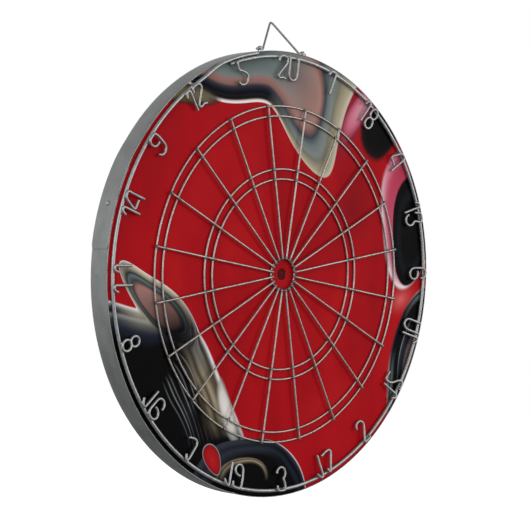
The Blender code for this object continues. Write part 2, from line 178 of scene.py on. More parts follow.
def wire_mesh(name, points, radius, sides=12, closed=False):
    """A round wire swept along the points, with slightly bevelled cut ends. UV is along and around it."""
    count = len(points)
    tangents = []
    for i in range(count):
        before = points[i - 1] if closed or i else points[0]
        after = points[(i + 1) % count] if closed or i < count - 1 else points[-1]
        tangents.append((after - before).normalized())
    stations = [(point, tangent, 1.0) for point, tangent in zip(points, tangents)]
    if not closed:
        bevel = ((0.0, 0.62), (0.14, 0.9), (0.38, 1.0))
        start = [(points[0] + tangents[0] * radius * d, tangents[0], s) for d, s in bevel]
        end = [(points[-1] - tangents[-1] * radius * d, tangents[-1], s) for d, s in bevel]
        stations = start + stations[1:-1] + end[::-1]
    bm = bmesh.new()
    uv = bm.loops.layers.uv.new("wire")
    normal = Vector((0, 1, 0))
    if abs(stations[0][1].dot(normal)) > 0.9:
        normal = Vector((1, 0, 0))
    rings, along, travelled = [], [], 0.0
    for i, (place, tangent, scale) in enumerate(stations):
        normal = (normal - tangent * normal.dot(tangent)).normalized()
        side = tangent.cross(normal)
        turns = (2 * math.pi * k / sides for k in range(sides))
        rings.append([
            bm.verts.new(place + (normal * math.cos(a) + side * math.sin(a)) * radius * scale)
            for a in turns
        ])
        travelled += (place - stations[i - 1][0]).length if i else 0.0
        along.append(travelled)
    pairs = list(zip(range(len(rings) - 1), range(1, len(rings))))
    if closed:
        pairs.append((len(rings) - 1, 0))
    for a, b in pairs:
        far = along[b] if b else along[a] + (stations[a][0] - stations[0][0]).length
        for k in range(sides):
            n = (k + 1) % sides
            face = bm.faces.new((rings[a][k], rings[a][n], rings[b][n], rings[b][k]))
            around = (k / sides, (k + 1) / sides)
            values = ((along[a], around[0]), (along[a], around[1]), (far, around[1]), (far, around[0]))
            for loop, value in zip(face.loops, values):
                loop[uv].uv = value
    if not closed:
        for ring in (rings[0], rings[-1]):
            bm.faces.new(ring)
    return mesh_of(bm, name)


def bead_mesh(name, places, radii):
    """Small flattened weld lumps at the places, each a little different."""
    bm = bmesh.new()
    for i, place in enumerate(places):
        vary = 1 + 0.14 * noise.noise(Vector(place) * 311.0 + Vector((i, 0, 0)))
        size = Matrix.Diagonal((radii[0] * vary, radii[1], radii[2] * vary, 1))
        bmesh.ops.create_icosphere(
            bm, subdivisions=2, radius=1.0, matrix=Matrix.Translation(place) @ size
        )
    return mesh_of(bm, name)


def combined(name, base, others, operation="UNION", folded=False):
    """The base mesh joined with the others, or cut by them, as one new mesh. folded is for wires
    that may pass through themselves in a tight bend."""
    made = bpy.data.objects.new(name, base)
    bpy.context.scene.collection.objects.link(made)
    helpers = []
    for i, mesh in enumerate(others):
        helper = bpy.data.objects.new(f"{name}_{i}", mesh)
        bpy.context.scene.collection.objects.link(helper)
        modifier = made.modifiers.new("Join", "BOOLEAN")
        modifier.operation, modifier.solver, modifier.object = operation, "EXACT", helper
        modifier.use_self = folded
        helpers.append(helper)
    bpy.context.view_layer.update()
    evaluated = made.evaluated_get(bpy.context.evaluated_depsgraph_get())
    mesh = bpy.data.meshes.new_from_object(evaluated)
    for obj in [made] + helpers:
        bpy.data.objects.remove(obj, do_unlink=True)
    bm = bmesh.new()
    bm.from_mesh(mesh)
    bmesh.ops.remove_doubles(bm, verts=bm.verts, dist=0.004 * MM)
    bmesh.ops.dissolve_degenerate(bm, edges=bm.edges, dist=0.002 * MM)
    bm.to_mesh(mesh)
    bm.free()
    mesh.name = name
    return smooth(mesh)


def mark_joint_shade(mesh, places, reach):
    """Writes how near each vertex is to a weld, for the painted shade where the wires meet there."""
    heat = mesh.attributes.new("heat", "FLOAT", "POINT")
    for vertex, value in zip(mesh.vertices, heat.data):
        near = min(((vertex.co - place).length for place in places), default=1.0)
        value.value = 1 - between(near, 0.35 * reach, reach)
    return mesh


def disc_mesh(name, radii, segments, back, front, height):
    """A thin round sheet. radii run outward, and a hole is left when the first is above 0.
    height(place) is how far the front stands back from its plane, with place on that plane."""
    bm = bmesh.new()
    layers = []
    for y, facing in ((front, 1), (back, 0)):
        rings = []
        for n, radius in enumerate(radii):
            ring = []
            for i in range(segments):
                degrees = 360 * i / segments
                place = polar(radius(degrees) if callable(radius) else radius, degrees, y)
                if facing:
                    place.y += height(place)
                ring.append(bm.verts.new(place))
            rings.append(ring)
        layers.append(rings)
    for rings in layers:
        for a, b in zip(rings, rings[1:]):
            for i in range(segments):
                n = (i + 1) % segments
                bm.faces.new((a[i], a[n], b[n], b[i]))
    for edge in (0, -1):
        front_ring, back_ring = layers[0][edge], layers[1][edge]
        for i in range(segments):
            n = (i + 1) % segments
            bm.faces.new((front_ring[i], front_ring[n], back_ring[n], back_ring[i]))
    return mesh_of(bm, name)


# --- materials ------------------------------------------------------------------------------


def srgb(code):
    """Linear colour of an sRGB hex code."""
    values = [int(code[i : i + 2], 16) / 255 for i in (0, 2, 4)]
    return tuple(v / 12.92 if v < 0.04045 else ((v + 0.055) / 1.055) ** 2.4 for v in values)


class Look:
    """A node material, with short calls for the nodes used here."""

    def __init__(self, name, roughness, metallic=0.0, **sockets):
        self.material = bpy.data.materials.new(name)
        self.material.use_nodes = True
        self.tree = self.material.node_tree
        self.shader = self.tree.nodes["Principled BSDF"]
        self.set("Roughness", roughness)
        self.set("Metallic", metallic)
        for socket, value in sockets.items():
            self.set(socket.replace("_", " "), value)

    def set(self, socket, value):
        if isinstance(value, bpy.types.NodeSocket):
            self.tree.links.new(value, self.shader.inputs[socket])
        else:
            self.shader.inputs[socket].default_value = value

    def node(self, kind, inputs=None, **settings):
        made = self.tree.nodes.new("ShaderNode" + kind)
        for key, value in settings.items():
            setattr(made, key, value)
        for key, value in (inputs or {}).items():
            if isinstance(value, bpy.types.NodeSocket):
                self.tree.links.new(value, made.inputs[key])
            else:
                made.inputs[key].default_value = value
        return made

    def object_place(self):
        return self.node("TexCoord").outputs["Object"]

    def math(self, operation, a, b=0.0, clamp=False):
        made = self.node("Math", {0: a, 1: b}, operation=operation, use_clamp=clamp)
        return made.outputs[0]

    def mix(self, factor, a, b, blend="MIX"):
        a, b = ((*v, 1.0) if isinstance(v, tuple) and len(v) == 3 else v for v in (a, b))
        made = self.node("Mix", {0: factor, 6: a, 7: b}, data_type="RGBA", blend_type=blend)
        return made.outputs[2]

    def noise(self, vector, scale, detail=3.0, rough=0.5):
        made = self.node(
            "TexNoise",
            {"Vector": vector, "Scale": scale, "Detail": detail, "Roughness": rough},
        )
        return made.outputs["Fac"]

    def stretched(self, vector, scale):
        return self.node("Mapping", {"Vector": vector, "Scale": scale}).outputs[0]

    def ramp(self, factor, stops):
        """stops are (position, colour) or (position, colour, alpha)."""
        made = self.node("ValToRGB", {0: factor})
        elements = made.color_ramp.elements
        for i, stop in enumerate(stops):
            element = elements[i] if i < 2 else elements.new(stop[0])
            element.position = stop[0]
            element.color = (*stop[1], stop[2] if len(stop) > 2 else 1.0)
        return made

    def span(self, factor, low, high):
        """Maps 0..1 onto low..high."""
        made = self.node("MapRange", {0: factor, 3: low, 4: high})
        return made.outputs[0]

    def bump(self, height, distance, strength=1.0, below=None):
        inputs = {"Height": height, "Distance": distance, "Strength": strength}
        if below is not None:
            inputs["Normal"] = below
        return self.node("Bump", inputs).outputs[0]


def crossing_shade(look, place):
    """Painted shade: 1 at each crossing of the cage's rings and straight wires, falling to 0 around it."""
    split = look.node("SeparateXYZ", {0: place})
    flat = look.node("CombineXYZ", {0: split.outputs[0], 1: 0.0, 2: split.outputs[2]}).outputs[0]
    reach = look.node("VectorMath", {0: flat}, operation="LENGTH").outputs["Value"]
    turn = look.math("ARCTAN2", split.outputs[2], split.outputs[0])
    sector = math.radians(SECTOR_DEG)
    turned = look.math("FRACT", look.math("DIVIDE", turn, sector))
    width = look.math("MULTIPLY", reach, sector)
    aside = look.math("MULTIPLY", look.math("SUBTRACT", turned, 0.5), width)
    off = None
    for radius in SPIDER_RINGS.values():
        away = look.math("ABSOLUTE", look.math("SUBTRACT", reach, radius))
        off = away if off is None else look.math("MINIMUM", off, away)
    square = look.math("ADD", look.math("MULTIPLY", aside, aside), look.math("MULTIPLY", off, off))
    distance = look.math("SQRT", square)
    return look.node("MapRange", {0: distance, 1: 1.2 * MM, 2: 2.4 * MM, 3: 0.7, 4: 0.0}).outputs[0]


def wire_look(name, light, dark, roughness, cage=False):
    """Drawn galvanised wire: mottled zinc, fine lines along the wire, and painted shade darkening it where
    wires meet at welds and crossings.
    """
    look = Look(name, roughness, metallic=0.9)
    place = look.object_place()
    along = look.node("UVMap", uv_map="wire").outputs[0]
    mottle = look.noise(place, 260.0, 4.0, 0.6)
    broad = look.noise(place, 38.0, 2.0)
    blend = look.math("ADD", look.math("MULTIPLY", mottle, 0.65), look.math("MULTIPLY", broad, 0.35))
    zinc = look.ramp(blend, [(0.34, srgb(dark)), (0.62, srgb(light))]).outputs[0]
    if cage:
        heat = crossing_shade(look, place)
    else:
        heat = look.node("Attribute", attribute_name="heat").outputs["Fac"]
    # Painted shade: the zinc is mixed towards a dark grey where the wires meet.
    look.set("Base Color", look.mix(look.math("MULTIPLY", heat, 0.9), zinc, srgb("565B57")))
    drawn = look.noise(look.stretched(along, (60.0, 16.0, 1.0)), 6.0, 3.0, 0.65)
    rough = look.math("ADD", look.span(drawn, -0.07, 0.07), look.span(mottle, -0.08, 0.08))
    rough = look.math("ADD", rough, look.math("MULTIPLY", heat, 0.12))
    look.set("Roughness", look.math("ADD", rough, roughness))
    fine = look.bump(drawn, 0.03 * MM, 0.6)
    look.set("Normal", look.bump(mottle, 0.05 * MM, 0.5, fine))
    return look.material


def band_look():
    """Rolled strip with a satin grey finish, and a painted highlight along its two edges."""
    look = Look("band_steel", 0.5, metallic=0.85)
    place = look.object_place()
    split = look.node("SeparateXYZ", {0: place})
    angle = look.math("ARCTAN2", split.outputs[2], split.outputs[0])
    strip = look.node("CombineXYZ", {0: angle, 1: split.outputs[1], 2: 0.0}).outputs[0]
    rolled = look.noise(look.stretched(strip, (3.0, 2200.0, 1.0)), 1.0, 4.0, 0.6)
    cloud = look.noise(look.stretched(strip, (9.0, 60.0, 1.0)), 1.0, 3.0, 0.55)
    specks = look.noise(place, 700.0, 2.0, 0.5)
    tone = look.math("ADD", look.math("MULTIPLY", cloud, 0.6), look.math("MULTIPLY", rolled, 0.4))
    grey = look.ramp(tone, [(0.3, srgb("7B7D7D")), (0.5, srgb("8B8E8D")), (0.72, srgb("999B9A"))])
    # Painted highlight: the grey is lightened towards B9BAB6 along both edges of the strip, where they would
    # catch the light.
    middle = look.math("ABSOLUTE", look.math("ADD", split.outputs[1], BOARD_DEPTH / 2))
    ragged = look.math("ADD", middle, look.math("MULTIPLY", look.span(cloud, -1.0, 1.0), 0.25 * MM))
    edge = look.node(
        "MapRange", {0: ragged, 1: BOARD_DEPTH / 2 - 0.4 * MM, 2: BOARD_DEPTH / 2 - 0.1 * MM}
    ).outputs[0]
    edge_highlight = look.mix(look.math("MULTIPLY", edge, 0.3), grey.outputs[0], srgb("B9BAB6"))
    dirt = look.ramp(specks, [(0.66, (0, 0, 0)), (0.76, (1, 1, 1))]).outputs[0]
    look.set("Base Color", look.mix(look.math("MULTIPLY", dirt, 0.25), edge_highlight, srgb("55534F")))
    look.set("Roughness", look.span(tone, 0.38, 0.6))
    dents = look.bump(cloud, 0.25 * MM, 0.35)
    look.set("Normal", look.bump(rolled, 0.02 * MM, 0.7, dents))
    return look.material


def paper_look(name, dark, light, roughness, fibre_depth, coil_pitch=None):
    """Matt paper: cloudy tone, short fibres, and the coil of the core showing through."""
    look = Look(name, roughness, Specular_IOR_Level=0.15)
    place = look.object_place()
    cloud = look.noise(place, 22.0, 3.0)
    fibre = look.noise(look.stretched(place, (1.0, 1.0, 3.2)), 900.0, 4.0, 0.7)
    tone = look.math("ADD", look.math("MULTIPLY", cloud, 0.5), look.math("MULTIPLY", fibre, 0.5))
    colour = look.ramp(tone, [(0.32, srgb(dark)), (0.68, srgb(light))]).outputs[0]
    normal = look.bump(fibre, fibre_depth, 0.8)
    if coil_pitch:
        flat = look.stretched(place, (1.0, 0.0, 1.0))
        reach = look.node("VectorMath", {0: flat}, operation="LENGTH").outputs["Value"]
        wave = look.math("SINE", look.math("MULTIPLY", reach, 2 * math.pi / coil_pitch))
        normal = look.bump(wave, 0.08 * MM, 0.5, normal)
        seam = look.node("MapRange", {0: wave, 1: 0.7, 2: 1.0, 4: 0.55}).outputs[0]
        colour = look.mix(seam, colour, srgb(dark), "MULTIPLY")
    look.set("Base Color", colour)
    look.set("Normal", normal)
    return look.material


def pool(look, place, centre, radii, turn, taper=0.0):
    """Distance from the centre of a turned ellipse: 1 on its outline. taper narrows its lower end."""
    mapped = look.node(
        "Mapping",
        {
            "Vector": place,
            "Location": (*centre, 0.0),
            "Rotation": (0.0, 0.0, math.radians(turn)),
            "Scale": (*radii, 1.0),
        },
        vector_type="TEXTURE",
    ).outputs[0]
    if taper:
        split = look.node("SeparateXYZ", {0: mapped})
        width = look.math("ADD", look.math("MULTIPLY", split.outputs[1], taper), 1.0)
        width = look.math("MAXIMUM", width, 0.15)
        across = look.math("DIVIDE", split.outputs[0], width)
        mapped = look.node("CombineXYZ", {0: across, 1: split.outputs[1], 2: 0.0}).outputs[0]
    return look.node("VectorMath", {0: mapped}, operation="LENGTH").outputs["Value"]


def print_look():
    """A generic poured-paint print: folds of grey, rose, navy and black over a red ground."""
    look = Look("printed_paper", 0.5, Specular_IOR_Level=0.03)
    place = look.object_place()
    split = look.node("SeparateXYZ", {0: place})
    flat = look.node("CombineXYZ", {0: split.outputs[0], 1: split.outputs[2], 2: 0.0}).outputs[0]
    unit = look.stretched(flat, (1 / BOARD_RADIUS, 1 / BOARD_RADIUS, 1.0))

    def warped(start, scale, amount):
        drift = look.node("TexNoise", {"Vector": start, "Scale": scale, "Detail": 0.0}).outputs["Color"]
        centred = look.node("VectorMath", {0: drift, 1: (0.5, 0.5, 0.5)}, operation="SUBTRACT")
        offset = look.node("VectorMath", {0: centred.outputs[0], "Scale": amount}, operation="SCALE")
        return look.node("VectorMath", {0: start, 1: offset.outputs[0]}, operation="ADD").outputs[0]

    poured = warped(warped(unit, 1.5, 0.22), 3.0, 0.06)
    axes = look.node("SeparateXYZ", {0: poured})
    across, up = axes.outputs[0], axes.outputs[1]

    def blob(centre, radii, turn=0.0, taper=0.0):
        return pool(look, poured, centre, radii, turn, taper)

    def joined(a, b, reach):
        return look.node("Math", {0: a, 1: b, 2: reach}, operation="SMOOTH_MIN").outputs[0]

    def swelled(field, scale, amount):
        """The same outline, with the bands inside it pinched and widened."""
        inside = look.math("SUBTRACT", 1.0, field, clamp=True)
        vary = look.span(look.noise(poured, scale, 1.0), -amount, amount)
        return look.math("ADD", field, look.math("MULTIPLY", inside, vary))

    def tilted(field, slope, amount):
        """The same outline, with the bands inside it pushed to one side."""
        inside = look.math("SUBTRACT", 1.0, field, clamp=True)
        return look.math("ADD", field, look.math("MULTIPLY", inside, look.span(slope, -amount, amount)))

    def rise(value, low, high):
        """From 0 at low to 1 at high."""
        return look.node("MapRange", {0: value, 1: low, 2: high}).outputs[0]

    def sloped(x_share, up_share, low, high):
        """From 0 to 1 across the print, in one direction."""
        value = look.math("ADD", look.math("MULTIPLY", across, x_share), look.math("MULTIPLY", up, up_share))
        return rise(value, low, high)

    red, black, navy, steel = srgb("A60C16"), srgb("040406"), srgb("1C2132"), srgb("65706F")
    rose, beige, cream, pink = srgb("94706A"), srgb("A2977F"), srgb("EAE3E4"), srgb("CC6F88")
    brown, slate, silver = srgb("4E4132"), srgb("39424C"), srgb("9AA09F")
    shade = look.noise(look.stretched(poured, (2.2, 0.9, 1.0)), 1.7, 2.0)
    colour = look.ramp(shade, [(0.3, srgb("980A14")), (0.5, red), (0.68, srgb("B01218"))]).outputs[0]

    def fold(field, stops, second=None, blend=0.0, strength=None):
        """Lays one fold over the colour so far. Stops run from the middle, 0, to past the outline, 1.
        second is another set of stops, which takes over where blend is 1."""
        nonlocal colour
        reach = look.math("MULTIPLY", field, 0.8)

        def tones(chosen):
            made = look.ramp(reach, [(stop[0] * 0.8, *stop[1:]) for stop in chosen])
            return made.outputs["Color"], made.outputs["Alpha"]

        tone, cover = tones(stops)
        if second:
            tone = look.mix(blend, tone, tones(second)[0])
        if strength is not None:
            cover = look.math("MULTIPLY", cover, strength)
        colour = look.mix(cover, colour, tone)

    faded = rise(look.noise(poured, 2.6, 0.0), 0.40, 0.58)
    # shadows and glows in the red ground
    fold(blob((0.44, 0.32), (0.22, 0.42), -24), [(0.0, srgb("5E0A14"), 0.6), (1.0, red, 0.0)])
    fold(blob((0.30, -0.62), (0.50, 0.16), 30), [(0.0, srgb("B4181A"), 0.7), (1.0, red, 0.0)])
    fold(blob((0.86, -0.12), (0.16, 0.09)), [(0.0, srgb("E06868"), 0.9), (1.0, srgb("B81C22"), 0.0)])
    # rose streak and dark patch to the right of the lobe
    fold(blob((0.50, 0.80), (0.09, 0.38), -24), [
        (0.0, srgb("DBA3AE"), 0.9), (0.35, pink, 0.9), (0.6, srgb("7A2838"), 0.7), (1.0, red, 0.0),
    ])
    fold(swelled(blob((0.65, 0.68), (0.15, 0.15), 30), 3.0, 0.8), [
        (0.0, black), (0.70, black), (0.86, srgb("1C0A0E")), (1.0, srgb("3A0A10"), 0.0),
    ])
    # dome along the top, and the lobe that hangs from it
    dome = joined(
        blob((-0.26, 1.16), (0.80, 0.43), -2), blob((0.15, 0.87), (0.30, 0.44), 18, 0.42), 0.36,
    )
    dome = tilted(dome, sloped(1.0, 0.35, 0.22, 0.62), 0.55)
    fold(swelled(dome, 1.8, 0.9), [
        (0.0, srgb("4C5658")), (0.28, steel), (0.44, srgb("77807F")), (0.52, rose), (0.62, srgb("8A645E")),
        (0.68, srgb("40353A")), (0.73, navy), (0.80, black), (0.86, srgb("14141C")), (0.91, black),
        (0.93, srgb("4A4440")), (0.95, srgb("C9C0AE")), (0.965, cream), (0.99, cream), (1.0, red, 0.0),
    ], [
        (0.0, rose), (0.40, srgb("9C766E")), (0.52, srgb("A67E76")), (0.60, srgb("7A5A54")),
        (0.65, slate), (0.73, srgb("707A78")), (0.80, srgb("7F8681")), (0.85, srgb("77766A")),
        (0.89, srgb("968C74")), (0.95, srgb("AEA48C")), (0.99, srgb("C9C0AE")),
    ], sloped(1.0, -0.6, -0.58, -0.26))
    fold(blob((-0.56, 0.74), (0.19, 0.05), 2), [
        (0.0, srgb("8A7F62")), (0.5, srgb("6E6346")), (0.8, srgb("3A3026"), 0.9), (1.0, black, 0.0),
    ])
    # dark drop at the right inside its pale crescent
    fold(blob((0.865, 0.25), (0.215, 0.325), 6), [
        (0.0, srgb("C4546E")), (0.70, srgb("C4546E")), (0.82, pink), (0.90, srgb("E0B4BF")), (0.96, cream),
        (1.03, red, 0.0),
    ], [
        (0.0, srgb("B03048")), (0.76, srgb("B03048")), (0.86, srgb("C85A70")), (0.95, pink), (1.0, pink),
    ], sloped(0.4, 1.0, 0.52, 0.86))
    fold(blob((0.90, 0.20), (0.165, 0.265), 4), [
        (0.0, black), (0.50, black), (0.70, srgb("12151A")), (0.84, black), (0.96, black),
        (1.0, srgb("2A0A12"), 0.0),
    ])
    # folds along the lower right rim
    fold(swelled(blob((1.04, -0.46), (0.28, 0.41), -24), 2.4, 1.3), [
        (0.0, black), (0.50, black), (0.60, srgb("2A2E3C")), (0.66, slate), (0.685, silver),
        (0.70, black), (0.90, black), (0.95, navy), (1.0, srgb("3A0A10"), 0.0),
    ], [
        (0.0, black), (0.36, srgb("3A2F33")), (0.50, srgb("6E5E5C")), (0.56, black), (0.80, black),
        (0.88, steel), (0.92, black), (0.97, silver), (1.0, cream),
    ], faded)
    # large dark pool at the lower left, with the ribbon that runs along its edge
    left = joined(blob((-0.97, -0.84), (0.75, 0.74)), blob((-0.73, -0.12), (0.29, 0.085), -44), 0.16)
    fold(swelled(left, 2.2, 1.0), [
        (0.0, black), (0.80, black), (0.86, navy), (0.90, slate), (0.925, srgb("7E8686")), (0.94, black),
        (0.965, srgb("3A3F4A")), (0.98, silver), (0.99, cream), (1.0, red, 0.0),
    ], [
        (0.0, black), (0.62, black), (0.68, srgb("15161C")), (0.74, black), (0.79, brown),
        (0.82, srgb("8F846C")), (0.85, brown), (0.88, beige), (0.92, srgb("5E523E")), (0.955, brown),
        (0.97, silver), (0.98, cream), (0.99, cream),
    ], sloped(1.0, -1.0, -0.34, 0.04))
    broken = rise(look.noise(poured, 4.0, 0.0), 0.34, 0.46)
    lines = look.math("MULTIPLY", broken, sloped(1.0, -0.7, -0.52, -0.30))
    bright = {0.60: 0.45, 0.635: 0.8, 0.66: 0.5, 0.70: 0.9, 0.73: 0.6, 0.765: 1.0, 0.80: 0.7}
    strands = []
    for at, shine in bright.items():
        strands += [(at - 0.008, black, 0.0), (at, silver, shine), (at + 0.008, black, 0.0)]
    fold(swelled(left, 1.7, 0.5), [(0.0, black, 0.0)] + strands, strength=lines)
    fold(tilted(left, sloped(1.0, 1.0, -0.98, -0.70), 0.55), [
        (0.0, rose), (0.46, srgb("9C736A")), (0.55, srgb("5C4844")), (0.60, slate), (0.70, steel),
        (0.76, srgb("2C323A")), (0.80, srgb("6B6456")), (0.86, beige), (0.96, srgb("CFC6B2")),
        (0.99, cream), (1.0, red, 0.0),
    ], strength=look.math("MULTIPLY", rise(up, -0.24, -0.04), rise(across, -1.0, -0.86)))
    fold(left, [
        (0.0, black), (0.93, black), (0.965, srgb("20222C")), (0.985, silver), (1.0, red, 0.0),
    ], strength=sloped(0.3, -1.0, 0.42, 0.58))
    fold(blob((-0.32, -0.56), (0.04, 0.15), 14), [
        (0.0, cream), (0.55, srgb("D8D0C4")), (0.8, silver, 0.8), (1.0, beige, 0.0),
    ])
    # dark pool at the bottom, with a red bead and the arch that passes over it
    fold(swelled(blob((-0.20, -1.03), (0.37, 0.36), -8), 2.6, 0.8), [
        (0.0, black), (0.80, black), (0.87, navy), (0.92, black), (0.96, srgb("20222C")),
        (0.98, slate), (0.99, cream), (1.0, red, 0.0),
    ], [
        (0.0, black), (0.72, black), (0.84, srgb("2A2E38")), (0.90, srgb("1C1F28")), (0.96, srgb("30343C")),
        (0.985, srgb("30343C")), (1.0, srgb("30343C")),
    ], sloped(-1.0, 0.0, 0.0, 0.14))
    fold(swelled(blob((-0.26, -0.88), (0.155, 0.125), 12), 3.0, 1.6), [
        (0.0, black, 0.0), (0.60, black, 0.0), (0.70, brown), (0.79, srgb("9A8E76")), (0.85, brown),
        (0.90, srgb("7E7564")), (0.94, srgb("2A2622")), (1.0, black, 0.0),
    ], strength=rise(up, -0.87, -0.80))
    fold(blob((-0.40, -0.775), (0.042, 0.072), 16, 0.35), [
        (0.0, srgb("B81C22")), (0.78, srgb("9A1218")), (0.87, srgb("6A1014")), (0.93, silver),
        (0.97, srgb("33363A")), (1.0, black, 0.0),
    ])
    look.set("Base Color", colour)

    grain = look.noise(place, 1500.0, 3.0, 0.6)
    press = look.noise(place, 60.0, 2.0)
    look.set("Roughness", look.math("ADD", look.span(grain, 0.42, 0.58), look.span(press, -0.05, 0.06)))
    soft = look.bump(press, 0.12 * MM, 0.35)
    look.set("Normal", look.bump(grain, 0.02 * MM, 0.6, soft))
    return look.material


# The cage wires' warm grey is zinc grey with a painted pink reflection of the red face mixed in.
spider_steel = wire_look("spider_wire", "AFA7A1", "8C8580", 0.38, cage=True)
number_steel = wire_look("number_wire", "A8A9A8", "858786", 0.42)
hanger_steel = wire_look("hanger_wire", "A2A2A1", "7C7C7A", 0.38)
fitting_steel = wire_look("fitting_steel", "B0B0AE", "82827F", 0.34)
band_steel = band_look()
back_paper = paper_look("back_paper", "2E2B28", "4E4942", 0.88, 0.05 * MM, 6.0 * MM)
core_paper = paper_look("wound_paper", "8D7657", "B29A78", 0.92, 0.08 * MM, 0.9 * MM)
plug_paper = paper_look("plug_paper", "3A0C0F", "5E1216", 0.9, 0.12 * MM, 0.8 * MM)
print_paper = print_look()


def piece(name, mesh, material, body, slot, *nodes):
    """A finished piece: it moves with its body and stands for its CAD nodes."""
    mesh.name = name
    mesh.materials.clear()
    mesh.materials.append(material)
    obj = bpy.data.objects.new(name, mesh)
    bpy.context.scene.collection.objects.link(obj)
    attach(obj, body)
    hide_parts(*nodes)
    return obj


# --- board ----------------------------------------------------------------------------------


def make_sheets():
    """The printed face with its torn centre hole, the back sheet and the plug's end."""

    def ragged(share):
        def radius(degrees):
            spot = polar(1, degrees, share)
            torn = noise.noise(spot * 2.3) * 0.45 + noise.noise(spot * 9.0) * 0.16
            return PRINT_HOLE_RADIUS + (torn * (1 - share) + share * 0.9) * MM
        return radius

    def face_height(place):
        reach = Vector((place.x, 0, place.z)).length
        swell = 0.06 * MM * (1 + noise.noise(place * 14.0)) + 0.02 * MM * (1 + noise.noise(place * 60.0))
        lip = 0.22 * MM * (1 - between(reach, PRINT_HOLE_RADIUS, PRINT_HOLE_RADIUS + 1.6 * MM))
        edge = 0.25 * MM * between(reach, CORE_RADIUS - 1.0 * MM, CORE_RADIUS)
        return min(swell + lip + edge, 0.5 * MM)

    inner = [ragged(0.0), ragged(0.25), ragged(0.6), ragged(1.0)]
    outward = [r * MM for r in (8.5, 11, 14)] + [(14 + 5.1 * i) * MM for i in range(1, 41)]
    rim = [CORE_RADIUS - 2 * MM, CORE_RADIUS - 0.9 * MM, CORE_RADIUS - 0.3 * MM, CORE_RADIUS]
    radii = inner + [r for r in outward if r < CORE_RADIUS - 4 * MM] + rim
    mesh = disc_mesh("face_print", radii, 288, FACE_Y + PRINT_THICKNESS, FACE_Y, face_height)
    piece("face_print", mesh, print_paper, "board", "printed_paper", "printed_face")

    def back_height(place):
        reach = Vector((place.x, 0, place.z)).length
        coil = 0.03 * MM * (1 + math.sin(reach * 2 * math.pi / (12 * MM)))
        edge = 0.3 * MM * between(reach, CORE_RADIUS - 0.9 * MM, CORE_RADIUS)
        return -(coil + edge + 0.03 * MM * (1 + noise.noise(place * 30.0)))

    radii = [0.4 * MM] + [3.0 * MM * i for i in range(1, 74)] + rim[1:]
    mesh = disc_mesh("back_sheet", radii, 256, -BACK_THICKNESS, 0, back_height)
    bm = bmesh.new()
    bm.from_mesh(mesh)
    bmesh.ops.remove_doubles(bm, verts=bm.verts, dist=0.001 * MM)
    mesh = mesh_of(bm, "back_sheet")
    piece("back_sheet", mesh, back_paper, "board", "back_paper", "back_cover")

    def plug_height(place):
        return 0.14 * MM * (1 + noise.noise(place * 420.0)) + 0.1 * MM * (1 + noise.noise(place * 1100.0))

    radii = [0.3 * MM * (i + 0.3) for i in range(20)] + [PLUG_RADIUS - 0.25 * MM, PLUG_RADIUS]
    back_y = -BACK_THICKNESS - GAP
    mesh = disc_mesh("bull_plug_end", radii, 64, back_y, CORE_FRONT_Y, plug_height)
    piece("bull_plug_end", mesh, plug_paper, "board", "plug_paper", "bull_plug")


def rod_mesh(name, radius, start, end, sides=20):
    return wire_mesh(name, resampled([Vector(start), Vector(end)], radius * 2), radius, sides)


def make_band():
    """The strip with rolled edges, clipped corners and the small waves that winding leaves."""
    layer = BAND_THICKNESS + GAP
    base = BOARD_RADIUS - BAND_THICKNESS / 2
    first, last = LAP_START_DEG + 1.0, LAP_END_DEG + 360
    count = 330
    half_depth, half_thick, corner = BOARD_DEPTH / 2, BAND_THICKNESS / 2, 0.2 * MM
    section = []
    for quarter, (sign_r, sign_y) in enumerate(((1, 1), (-1, 1), (-1, -1), (1, -1))):
        for k in range(4):
            turn = math.radians(90 * quarter + 30 * k)
            section.append((
                sign_r * (half_thick - corner) + corner * math.cos(turn),
                sign_y * (half_depth - corner) + corner * math.sin(turn),
            ))
        if quarter % 2:
            section += [(sign_r * half_thick, sign_r * y * half_depth) for y in (-0.5, 0.0, 0.5)]
    bm = bmesh.new()
    rings = []
    for i in range(count + 1):
        degrees = first + (last - first) * i / count
        rise = between(degrees, LAP_START_DEG + 360 - LAP_RAMP_DEG, LAP_START_DEG + 360)
        from_end = math.radians(min(degrees - first, last - degrees)) * BOARD_RADIUS
        clip = 2.2 * MM - min(2.2 * MM, from_end)
        ring = []
        for out, y in section:
            spot = polar(1, degrees, 0) * 5 + Vector((0, y * 60, rise * 3))
            wave = 0.05 * MM * (1 + noise.noise(spot)) + 0.02 * MM * (1 + noise.noise(spot * 4))
            narrow = 1 - clip / half_depth * 0.55
            radius = base + layer * rise + out + wave
            ring.append(bm.verts.new(polar(radius, degrees, y * narrow - half_depth)))
        rings.append(ring)
    size = len(section)
    for a, b in zip(rings, rings[1:]):
        for k in range(size):
            n = (k + 1) % size
            bm.faces.new((a[k], a[n], b[n], b[k]))
    bm.faces.new(rings[0])
    bm.faces.new(rings[-1])
    mesh = mesh_of(bm, "band_strip")

    outward = polar(1, NAIL_DEG, 0)
    middle = Vector((0, FACE_Y / 2, 0))
    surface = BOARD_RADIUS + layer
    cuts = [rod_mesh(
        "nail_cut", NAIL_SHANK_RADIUS + 0.15 * MM,
        middle + outward * (surface - 4 * MM), middle + outward * (surface + 2 * MM),
    )]
    for x in (-STAPLE_X, STAPLE_X):
        for y in (-STAPLE_HALF_SPAN, STAPLE_HALF_SPAN):
            foot = HANGER_AXIS + Vector((x, y, 0))
            cuts.append(rod_mesh(
                "leg_cut", STAPLE_WIRE_RADIUS + 0.15 * MM,
                foot - Vector((0, 0, 9 * MM)), foot + Vector((0, 0, 2 * MM)),
            ))
    mesh = combined("band_strip", mesh, cuts, "DIFFERENCE")
    piece("band_strip", mesh, band_steel, "board", "band_steel", "rim_band")


